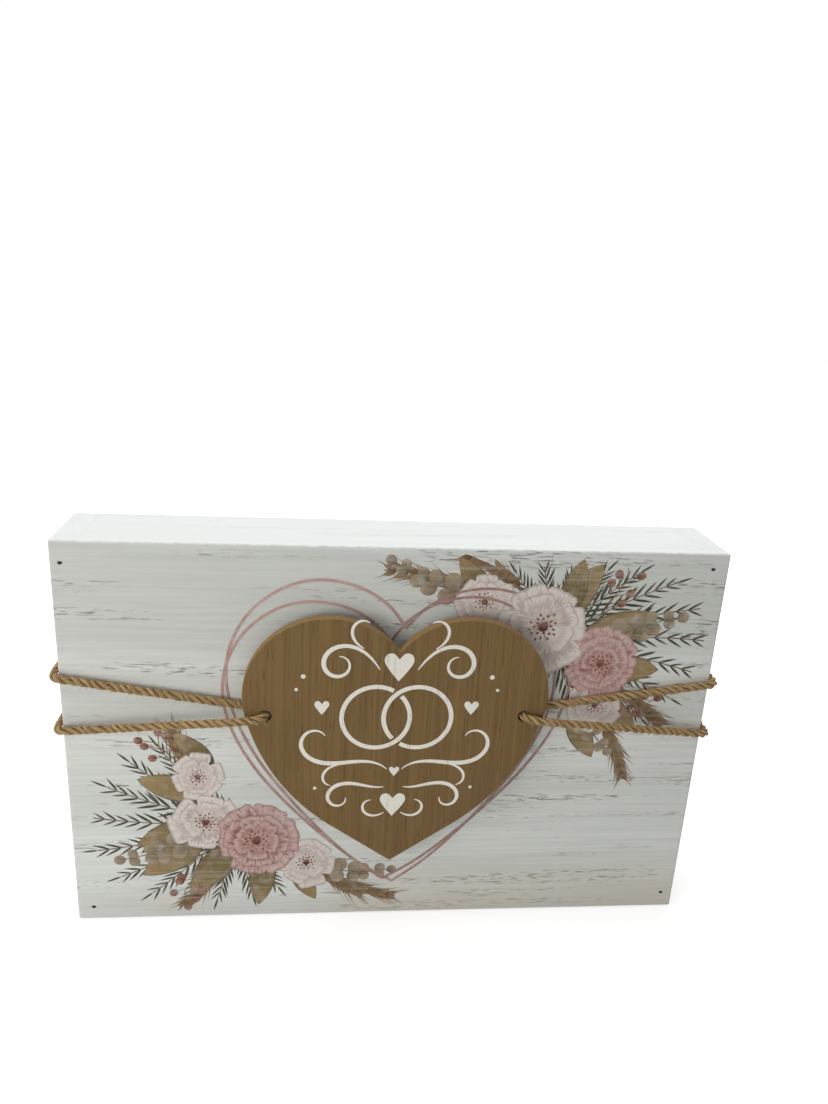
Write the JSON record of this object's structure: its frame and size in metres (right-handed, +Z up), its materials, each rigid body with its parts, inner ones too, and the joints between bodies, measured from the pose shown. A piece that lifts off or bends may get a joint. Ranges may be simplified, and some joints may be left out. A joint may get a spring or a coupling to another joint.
{
  "type": "table sign",
  "caption": "Free-standing whitewashed wooden block sign, open at the back, with a stained heart plaque tied across its front on a jute cord.",
  "frame": {"origin": "centre of the block's underside, where it stands on a table", "axes": "+X to the right seen from the front, +Y from the front to the back, +Z up"},
  "size_m": [0.3088, 0.0659, 0.195],
  "materials": {
    "whitewashed_wood": "whitewashed, with fine horizontal grain showing through",
    "stained_wood": "brown stain with upright grain",
    "jute": "natural three-strand jute twine",
    "brad_steel": "darkened steel"
  },
  "bodies": {
    "block": {"face_board": "whitewashed_wood", "left_board": "whitewashed_wood", "right_board": "whitewashed_wood", "top_board": "whitewashed_wood", "bottom_board": "whitewashed_wood", "face_brads": "brad_steel", "side_brads": "brad_steel", "jute_cord": "jute"},
    "heart": {"heart_plaque": "stained_wood"}
  },
  "joints": [
    {"name": "heart_rock", "type": "hinge", "parent": "block", "child": "heart", "pos_m": [0, -0.02805, 0.117], "axis": [1, 0, 0], "range_deg": [-5, 3.2], "stiffness_Nm_per_rad": 0.05}
  ]
}
